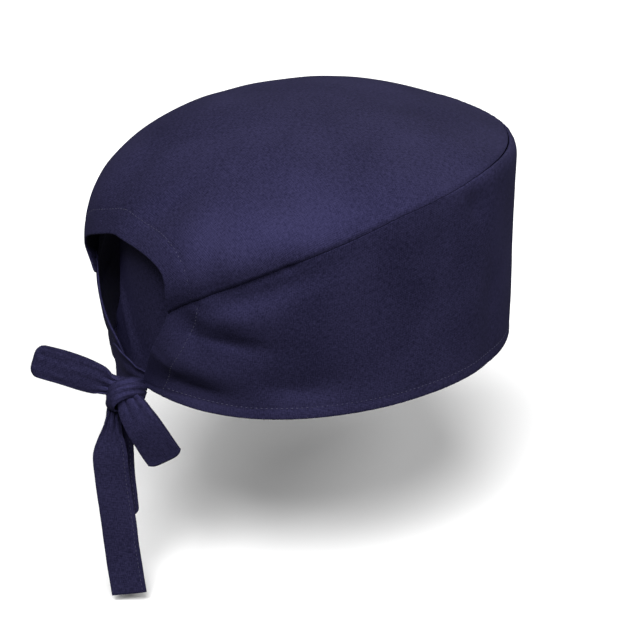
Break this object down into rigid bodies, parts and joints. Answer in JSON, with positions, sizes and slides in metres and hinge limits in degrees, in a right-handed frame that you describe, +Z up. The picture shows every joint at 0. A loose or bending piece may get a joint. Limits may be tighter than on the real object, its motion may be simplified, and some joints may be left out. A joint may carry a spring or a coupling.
{
  "type": "scrub cap",
  "caption": "Tie-back surgical cap of plain woven cloth: a deep side band, a domed crown panel and a back opening closed by a bow.",
  "frame": {"origin": "middle of the rim's plane, where the head goes in", "axes": "+Z up through the crown, -Y the front of the cap, +Y the back with the bow, -X the wearer's right"},
  "size_m": [0.1738, 0.2525, 0.2391],
  "materials": {
    "crown_cloth": "matt plain-woven poly-cotton poplin, navy",
    "band_cloth": "matt plain-woven poly-cotton poplin, navy",
    "tie_cloth": "matt plain-woven poly-cotton poplin, navy"
  },
  "bodies": {
    "root": {"crown_panel": "crown_cloth", "side_band": "band_cloth", "inner_flap": "band_cloth", "tie_lead_left": "tie_cloth", "tie_knot": "tie_cloth", "bow_loop_left": "tie_cloth", "bow_loop_right": "tie_cloth", "tie_tail_long": "tie_cloth", "tie_tail_short": "tie_cloth"}
  },
  "joints": []
}
